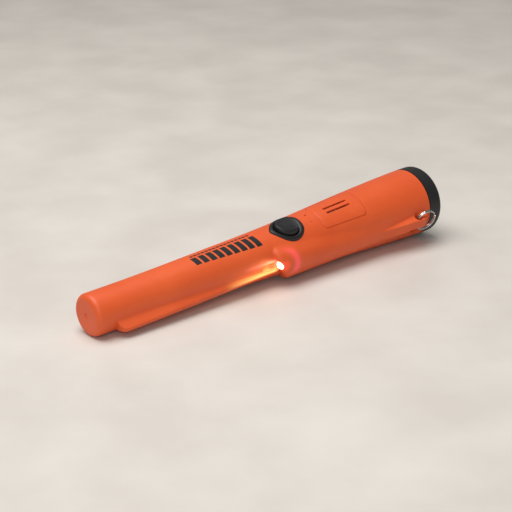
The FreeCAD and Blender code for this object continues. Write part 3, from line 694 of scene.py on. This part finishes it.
button = pit("push_button", button_line, [
    (0.3, 0.0, -0.6), (0.7, 0.0, -0.6), (1.0, 0.0, -0.6), (1.0, 0.0, 0.6), (1.0, 0.1, 1.4),
    (1.0, 0.24, 1.85), (1.0, 0.5, 2.2), (1.0, 0.78, 2.42), (1.0, 1.0, 2.5), (1.0, 1.2, 2.46),
    (0.86, 1.0, 2.36), (0.6, 0.7, 2.3), (0.3, 0.4, 2.28)])
soften(button, 50)
button.data.materials.append(rubber)
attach(button, "button")
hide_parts("button_cap")


# Printed mark ---------------------------------------------------------------------------------
# Pad-printed ink on the barrel: a plain rising row of slanted bars, like a signal meter, and a fine
# dark red row of dashes beside it. Each row is laid out flat, then drawn down onto the barrel.
def row_tree(name, kinds):
    """An empty Geometry Nodes tree with named inputs: (tree, their outputs, their identifiers)."""
    tree = bpy.data.node_groups.new(name, "GeometryNodeTree")
    tree.interface.new_socket("Geometry", in_out="OUTPUT", socket_type="NodeSocketGeometry")
    sockets = {}
    for label, kind in kinds.items():
        socket = tree.interface.new_socket(label, in_out="INPUT", socket_type="NodeSocket" + kind)
        sockets[label] = socket.identifier
    return tree, add_node(tree, "NodeGroupInput").outputs, sockets


def grow_row(name, tree, sockets, values):
    """A plain mesh made by a Geometry Nodes tree from the values of its named inputs."""
    piece = bpy.data.objects.new(name, bpy.data.meshes.new(name))
    bpy.context.scene.collection.objects.link(piece)
    modifier = piece.modifiers.new("row", "NODES")
    modifier.node_group = tree
    for label, value in values.items():
        modifier[sockets[label]] = value
    settle(piece)
    return piece


def bar_row(name, values):
    """A flat row of slanted bars that grow from the first to the last."""
    tree, given, sockets = row_tree(name, {
        "Count": "Int", "Pitch": "Float", "Width": "Float", "First length": "Float",
        "Last length": "Float", "Slant": "Float", "Ink": "Material"})
    row = add_node(tree, "GeometryNodeMeshLine", {"Count": given["Count"]})
    step = add_node(tree, "ShaderNodeCombineXYZ", {"X": given["Pitch"]})
    tree.links.new(step.outputs[0], row.inputs["Offset"])
    bar = add_node(tree, "GeometryNodeMeshGrid", {"Size X": given["Width"], "Size Y": 1.0,
                                                  "Vertices X": 4, "Vertices Y": 14})
    foot = add_node(tree, "GeometryNodeTransform", {"Geometry": bar.outputs["Mesh"],
                                                    "Translation": (0.0, 0.5, 0.0)})
    order = add_node(tree, "GeometryNodeInputIndex")
    last = add_node(tree, "ShaderNodeMath", {0: given["Count"], 1: 1.0}, operation="SUBTRACT")
    part = add_node(tree, "ShaderNodeMath", {0: order.outputs[0], 1: last.outputs[0]}, operation="DIVIDE")
    length = add_node(tree, "ShaderNodeMapRange", {
        "Value": part.outputs[0], "To Min": given["First length"], "To Max": given["Last length"]})
    stretch = add_node(tree, "ShaderNodeCombineXYZ", {"X": 1.0, "Y": length.outputs["Result"], "Z": 1.0})
    bars = add_node(tree, "GeometryNodeInstanceOnPoints", {
        "Points": row.outputs["Mesh"], "Instance": foot.outputs["Geometry"], "Scale": stretch.outputs[0]})
    real = add_node(tree, "GeometryNodeRealizeInstances", {"Geometry": bars.outputs["Instances"]})
    place = add_node(tree, "GeometryNodeInputPosition")
    where = add_node(tree, "ShaderNodeSeparateXYZ", {"Vector": place.outputs[0]})
    lean = add_node(tree, "ShaderNodeMath", {0: where.outputs["Y"], 1: given["Slant"]},
                    operation="MULTIPLY")
    shift = add_node(tree, "ShaderNodeCombineXYZ", {"X": lean.outputs[0]})
    slanted = add_node(tree, "GeometryNodeSetPosition", {"Geometry": real.outputs["Geometry"],
                                                         "Offset": shift.outputs[0]})
    inked = add_node(tree, "GeometryNodeSetMaterial", {"Geometry": slanted.outputs["Geometry"],
                                                       "Material": given["Ink"]})
    add_node(tree, "NodeGroupOutput", {"Geometry": inked.outputs["Geometry"]})
    return grow_row(name, tree, sockets, values)


INK_FILM = 0.035


def print_on_barrel(piece, start_x, start_angle):
    """Wraps a flat row onto the barrel from start_x and an angle from the button, in degrees."""
    flat = np.array([vertex.co[:] for vertex in piece.data.vertices])
    x = start_x + flat[:, 0]
    reach = barrel_radius(x) + INK_FILM
    turn = np.radians(start_angle) + flat[:, 1] / reach
    around = np.stack([x, -reach * np.sin(turn), reach * np.cos(turn)], 1)
    for vertex, point in zip(piece.data.vertices, laid(around)):
        vertex.co = point
    shape = bmesh.new()
    shape.from_mesh(piece.data)
    middle = Vector(laid([start_x, 0.0, 0.0])[0])
    inward = [face for face in shape.faces if face.normal.dot(face.calc_center_median() - middle) < 0]
    if len(inward) > len(shape.faces) / 2:
        bmesh.ops.reverse_faces(shape, faces=shape.faces)
    shape.to_mesh(piece.data)
    shape.free()
    soften(piece)


black_ink = textured("black_pad_print", ("#0b0908", "#171210"), (0.45, 0.6), 0.5)
signal_bars = bar_row("printed_signal_bars", {
    "Count": 9, "Pitch": 4.7, "Width": 3.4, "First length": 5.4, "Last length": 8.0, "Slant": 0.16,
    "Ink": black_ink})
print_on_barrel(signal_bars, 64.2, -12.0)
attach(signal_bars, "housing")
red_ink = textured("dark_red_pad_print", ("#4c120c", "#6a2014"), (0.45, 0.6), 0.5)
fine_rule = bar_row("printed_fine_rule", {
    "Count": 16, "Pitch": 2.45, "Width": 1.8, "First length": 1.5, "Last length": 1.5, "Slant": 0.16,
    "Ink": red_ink})
print_on_barrel(fine_rule, 64.6, -24.0)
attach(fine_rule, "housing")


# Moulded dots ---------------------------------------------------------------------------------
# Three small domes moulded on the barrel ahead of the speaker cover, one for each sensitivity step.
DOT_R, DOT_SINK, DOT_X, DOT_Y, DOT_STEP = 0.6, 0.25, 139.6, -2.6, 2.6


def dot_row(name, values):
    """A row of equal balls, which the barrel's skin leaves as low domes."""
    tree, given, sockets = row_tree(name, {
        "Count": "Int", "Start": "Vector", "Step": "Vector", "Radius": "Float", "Plastic": "Material"})
    row = add_node(tree, "GeometryNodeMeshLine", {
        "Count": given["Count"], "Start Location": given["Start"], "Offset": given["Step"]})
    ball = add_node(tree, "GeometryNodeMeshUVSphere", {"Segments": 20, "Rings": 12,
                                                       "Radius": given["Radius"]})
    balls = add_node(tree, "GeometryNodeInstanceOnPoints", {"Points": row.outputs["Mesh"],
                                                            "Instance": ball.outputs["Mesh"]})
    real = add_node(tree, "GeometryNodeRealizeInstances", {"Geometry": balls.outputs["Instances"]})
    done = add_node(tree, "GeometryNodeSetMaterial", {"Geometry": real.outputs["Geometry"],
                                                      "Material": given["Plastic"]})
    add_node(tree, "NodeGroupOutput", {"Geometry": done.outputs["Geometry"]})
    return grow_row(name, tree, sockets, values)


first, second = laid(on_barrel([DOT_X, DOT_X], [DOT_Y, DOT_Y + DOT_STEP], -DOT_SINK))
dots = dot_row("moulded_dots", {"Count": 3, "Start": tuple(first), "Step": tuple(second - first),
                                "Radius": DOT_R * MM, "Plastic": orange_abs})
soften(dots)
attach(dots, "housing")


# Lamp -----------------------------------------------------------------------------------------
# A 5 mm warm-white LED with a clear epoxy dome, lit, pressed into the shoulder from behind.
def lit_epoxy():
    """Clear epoxy over a lit chip: so bright that the dome reads as plain warm white."""
    material, tree, shader = new_material("lit_led_epoxy")
    place = probe_millimetres(tree)
    away = add_node(tree, "ShaderNodeVectorMath", {0: place, 1: LAMP}, operation="DISTANCE")
    heat = add_node(tree, "ShaderNodeMapRange", {"Value": away.outputs["Value"], "From Min": 1.6,
                                                 "From Max": 3.4})
    tone = add_node(tree, "ShaderNodeValToRGB", {"Fac": heat.outputs["Result"]})
    tone.color_ramp.elements[0].color = hex_colour("#fffaf0")
    tone.color_ramp.elements[1].color = hex_colour("#ffd9a0")
    tree.links.new(tone.outputs["Color"], shader.inputs["Emission Color"])
    tree.links.new(tone.outputs["Color"], shader.inputs["Base Color"])
    shader.inputs["Emission Strength"].default_value = 4.0
    shader.inputs["Roughness"].default_value = 0.08
    return material


LAMP_R, LAMP_LENGTH, LAMP_PROUD = 2.5, 7.7, 0.4
dome = [(LAMP_R * (1 - math.cos(t)) / LAMP_LENGTH, LAMP_R * math.sin(t))
        for t in np.radians(np.arange(4.0, 91.0, 6.0))]
tip = LAMP[0] - LAMP_R - LAMP_PROUD
led = round_bar("led_dome", (tip, *LAMP[1:]), (tip + LAMP_LENGTH, *LAMP[1:]), dome + [(1, LAMP_R)])
soften(led, 50)
led.data.materials.append(lit_epoxy())
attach(led, "housing")
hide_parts("led_lens")
dress(["led_leads"], textured("tinned_lead_frame", ("#a9a9a6", "#c6c6c2"), (0.25, 0.4), 0.6, metallic=1.0))
BEAM_FROM, BEAM_ALONG = (110.2, LAMP[1] - 0.6, LAMP[2] + 0.6), (-1.0, 0.22, 0.03)
beam = bpy.data.objects.new("lamp_beam", bpy.data.lights.new("lamp_beam", "SPOT"))
beam.data.energy = 0.016
beam.data.color = hex_colour("#ffdf9e")[:3]
beam.data.spot_size = math.radians(85)
beam.data.spot_blend = 0.95
beam.data.shadow_soft_size = 0.0015
beam.location = laid(BEAM_FROM)[0]
beam.rotation_mode = "QUATERNION"
beam.rotation_quaternion = (-unit(*BEAM_ALONG)).to_track_quat("Z", "Y")
bpy.context.scene.collection.objects.link(beam)


# Lanyard ring ---------------------------------------------------------------------------------
# A split ring coiled from nickel-plated spring steel wire: two turns side by side, one stepping
# across to the other near the cut ends.
RING_R, RING_WIRE_R, RING_REACH, RING_ANGLE = 6.1, 0.45, 5.75, math.radians(8.0)
RING_CUT = math.radians(60)
RING_GAP, STEP_BEFORE_TURN, STEP_SWEEP = 0.7, 0.75, 0.6


def split_ring():
    """Wire swept round two turns."""
    out = np.array([math.cos(RING_ANGLE), -math.sin(RING_ANGLE), 0.0])
    centre = np.array(LUG_HOLE) + RING_REACH * out
    side = np.array([0.0, 0.0, 1.0])
    axis = np.cross(out, side)
    rings = []
    for turn in np.linspace(0.0, 4 * math.pi - RING_GAP, 150):
        step = np.clip((turn - (2 * math.pi - STEP_BEFORE_TURN)) / STEP_SWEEP, 0.0, 1.0)
        level = (2 * (3 * step ** 2 - 2 * step ** 3) - 1) * RING_WIRE_R
        away = out * math.cos(turn + RING_CUT) + side * math.sin(turn + RING_CUT)
        spots = np.linspace(0, 2 * math.pi, 12, endpoint=False)
        rings.append(np.array([centre + away * (RING_R + RING_WIRE_R * math.cos(s))
                               + axis * (level + RING_WIRE_R * math.sin(s)) for s in spots]))
    return join_rings("split_ring", rings)


ring = split_ring()
soften(ring, 50)
ring.data.materials.append(
    textured("bright_nickel_plate", ("#a9a7a3", "#d5d3ce"), (0.12, 0.26), 0.7, metallic=1.0))
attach(ring, "lanyard_ring_body")
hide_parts("lanyard_ring")


# Battery cap ----------------------------------------------------------------------------------
# Black glass-filled nylon, injection moulded, with a right-hand thread inside and a coin slot
# across its end; it screws over the collar and squeezes the O-ring.
nylon = textured("black_glass_filled_nylon", ("#0c0c0f", "#19191c"), (0.4, 0.55), 0.8, relief=0.02)
dress(["battery_cap", "thread_collar"], nylon)
dress(["cap_o_ring"], textured("nitrile_o_ring", ("#141414", "#242422"), (0.3, 0.45), 0.6))

# Nose coils -----------------------------------------------------------------------------------
# Three windings of enamelled copper wire on a white nylon bobbin round a pressed and fired ferrite
# rod, centred in the barrel by foam rings.
WIRE_PITCH = 0.4


def wound_copper():
    """Enamelled wire laid turn beside turn: one rounded ridge for each turn, and painted shade, a dark line
    in the groove between turns.
    """
    material, tree, shader = new_material("wound_enamelled_copper")
    place = probe_millimetres(tree)
    along = add_node(tree, "ShaderNodeSeparateXYZ", {"Vector": place})
    turns = add_node(tree, "ShaderNodeMath", {0: along.outputs["X"], 1: WIRE_PITCH / 2}, operation="PINGPONG")
    ridge = add_node(tree, "ShaderNodeMapRange", {"Value": turns.outputs[0], "From Max": WIRE_PITCH / 2})
    # Painted shade: the colour darkens to deep brown towards the groove between turns.
    tone = add_node(tree, "ShaderNodeValToRGB", {"Fac": ridge.outputs["Result"]})
    tone.color_ramp.elements[0].color = hex_colour("#4a1d0c")
    tone.color_ramp.elements[1].position = 0.5
    tone.color_ramp.elements[1].color = hex_colour("#b5622d")
    tree.links.new(tone.outputs["Color"], shader.inputs["Base Color"])
    bump = add_node(tree, "ShaderNodeBump", {"Height": ridge.outputs["Result"],
                                             "Distance": 0.5 * WIRE_PITCH * MM})
    tree.links.new(bump.outputs["Normal"], shader.inputs["Normal"])
    shader.inputs["Metallic"].default_value = 1.0
    shader.inputs["Roughness"].default_value = 0.35
    return material


white_nylon = textured("moulded_white_nylon", ("#d5d1c6", "#e4e0d6"), (0.45, 0.6), 6.0)
foam = textured("closed_cell_foam", ("#26262a", "#46464a"), (0.8, 0.95), 0.7, relief=0.2)
dress(["receive_coil_front", "transmit_coil", "receive_coil_rear"], wound_copper())
dress(["coil_leads"],
      textured("enamelled_copper_lead", ("#a3521f", "#bf6c33"), (0.25, 0.4), 2.0, metallic=1.0))
dress(["ferrite_core"], textured("fired_ferrite", ("#232327", "#3b3b40"), (0.55, 0.75), 0.4, relief=0.05))
dress(["coil_former", "electronics_tray", "battery_bulkhead"], white_nylon)
dress(["coil_spacers", "nose_cushion", "speaker_gasket", "battery_pad"], foam)

# Electronics ----------------------------------------------------------------------------------
# A glass-epoxy board under green solder mask, screwed into the nylon tray with zinc-plated screws;
# moulded chips, aluminium can capacitors and a tactile switch stand on it.
TRACK_PITCH = 1.5


def masked_board():
    """Green solder mask, lighter where it lies over copper tracks."""
    material, tree, shader = new_material("green_masked_glass_epoxy")
    place = probe_millimetres(tree)
    drift = add_node(tree, "ShaderNodeTexNoise", {"Vector": place, "Scale": 0.12})
    across = add_node(tree, "ShaderNodeSeparateXYZ", {"Vector": place})
    bent = add_node(tree, "ShaderNodeMath", {0: drift.outputs["Fac"], 1: 6.0, 2: across.outputs["Y"]},
                    operation="MULTIPLY_ADD")
    lines = add_node(tree, "ShaderNodeMath", {0: bent.outputs[0], 1: TRACK_PITCH / 2}, operation="PINGPONG")
    tone = add_node(tree, "ShaderNodeValToRGB", {"Fac": lines.outputs[0]})
    tone.color_ramp.elements[0].position = 0.42
    tone.color_ramp.elements[0].color = hex_colour("#0f4a26")
    tone.color_ramp.elements[1].position = 0.5
    tone.color_ramp.elements[1].color = hex_colour("#1d6b3a")
    tree.links.new(tone.outputs["Color"], shader.inputs["Base Color"])
    shader.inputs["Roughness"].default_value = 0.3
    return material


dress(["main_board"], masked_board())
dress(["board_screws"],
      textured("zinc_plated_screw_steel", ("#8d8f92", "#b2b4b6"), (0.3, 0.45), 0.8, metallic=1.0))
dress(["board_chips"], textured("moulded_chip_epoxy", ("#141416", "#222225"), (0.5, 0.65), 0.5))
dress(["capacitors"],
      textured("drawn_aluminium_can", ("#9fa1a4", "#c2c4c6"), (0.25, 0.4), 0.5, (1, 1, 0.2), 1.0))
dress(["tactile_switch"], textured("moulded_switch_nylon", ("#17171a", "#26262a"), (0.45, 0.6), 0.6))
dress(["switch_plunger"], textured("turned_acetal_plunger", ("#6d1d16", "#85281f"), (0.3, 0.45), 0.8))
dress(["button_post"], textured("moulded_acetal_post", ("#1b1b1d", "#2c2c2f"), (0.35, 0.5), 1.0))

# Speaker --------------------------------------------------------------------------------------
# A small loudspeaker with a plated magnet and a film cone, behind a waterproof sheet that its foam
# gasket squeezes against the barrel.
dress(["speaker_frame"], textured("moulded_speaker_frame", ("#101012", "#1d1d20"), (0.45, 0.6), 1.0))
dress(["speaker_magnet"],
      textured("plated_magnet_steel", ("#8a8c90", "#b4b6b9"), (0.2, 0.35), 1.2, metallic=1.0))
dress(["speaker_cone"], textured("pressed_polyester_film", ("#202126", "#34353b"), (0.2, 0.35), 1.4))
dress(["speaker_membrane"],
      textured("expanded_ptfe_sheet", ("#dcdcd8", "#eeeeea"), (0.7, 0.85), 0.3, relief=0.03))
black_lead = textured("black_pvc_lead", ("#121214", "#202023"), (0.35, 0.5), 1.0)
red_lead = textured("red_pvc_lead", ("#8f1712", "#a82019"), (0.35, 0.5), 1.0)
dress(["speaker_leads"], black_lead)

# Vibration motor ------------------------------------------------------------------------------
# A drawn steel can held in a rubber block on the bulge's inside, with a pressed tungsten half-round
# weight on its shaft.
dress(["motor_can"], textured("drawn_motor_can", ("#8f9194", "#b9bbbd"), (0.2, 0.35), 0.5, (0.2, 1, 1), 1.0))
dress(["motor_boot", "led_base"],
      textured("moulded_grommet_rubber", ("#151517", "#232326"), (0.55, 0.7), 0.8))
dress(["motor_shaft"],
      textured("ground_shaft_steel", ("#9b9da0", "#bfc1c3"), (0.15, 0.25), 0.4, (0.1, 1, 1), 1.0))
dress(["motor_weight"], textured("pressed_tungsten", ("#5d5f63", "#7f8185"), (0.35, 0.5), 0.3, metallic=1.0))
dress(["motor_leads"], red_lead)

# Battery bay ----------------------------------------------------------------------------------
# A nine volt block: six cells in a crimped, lacquered steel jacket with board ends and snap studs,
# pressed against two bent bronze leaves.
JACKET_BAND_X = 212.0


def lacquered_jacket():
    """Tinplate lacquered dark grey, with one plain copper-coloured band at the rear end."""
    material, tree, shader = new_material("lacquered_tinplate")
    place = probe_millimetres(tree)
    along = add_node(tree, "ShaderNodeSeparateXYZ", {"Vector": place})
    band = add_node(tree, "ShaderNodeMapRange", {"Value": along.outputs["X"], "From Min": JACKET_BAND_X,
                                                 "From Max": JACKET_BAND_X + 0.2})
    tone = add_node(tree, "ShaderNodeValToRGB", {"Fac": band.outputs["Result"]})
    tone.color_ramp.elements[0].color = hex_colour("#24272d")
    tone.color_ramp.elements[1].color = hex_colour("#b06a35")
    tree.links.new(tone.outputs["Color"], shader.inputs["Base Color"])
    shader.inputs["Metallic"].default_value = 0.6
    shader.inputs["Roughness"].default_value = 0.3
    return material


dress(["contact_springs"],
      textured("rolled_phosphor_bronze", ("#a8742f", "#c79246"), (0.2, 0.35), 0.8, (1, 1, 0.2), 1.0))
dress(["battery_leads"], red_lead)
dress(["battery_jacket"], lacquered_jacket())
dress(["battery_cells"],
      textured("drawn_cell_can", ("#86888c", "#a9abae"), (0.3, 0.45), 1.0, (0.15, 1, 1), 1.0))
dress(["battery_end_plates"],
      textured("pressed_fibre_board", ("#1b1b1d", "#2e2d2c"), (0.6, 0.8), 0.4, relief=0.03))
dress(["battery_terminals"],
      textured("nickel_plated_snap", ("#a5a6a6", "#cfcfcd"), (0.15, 0.3), 0.8, metallic=1.0))
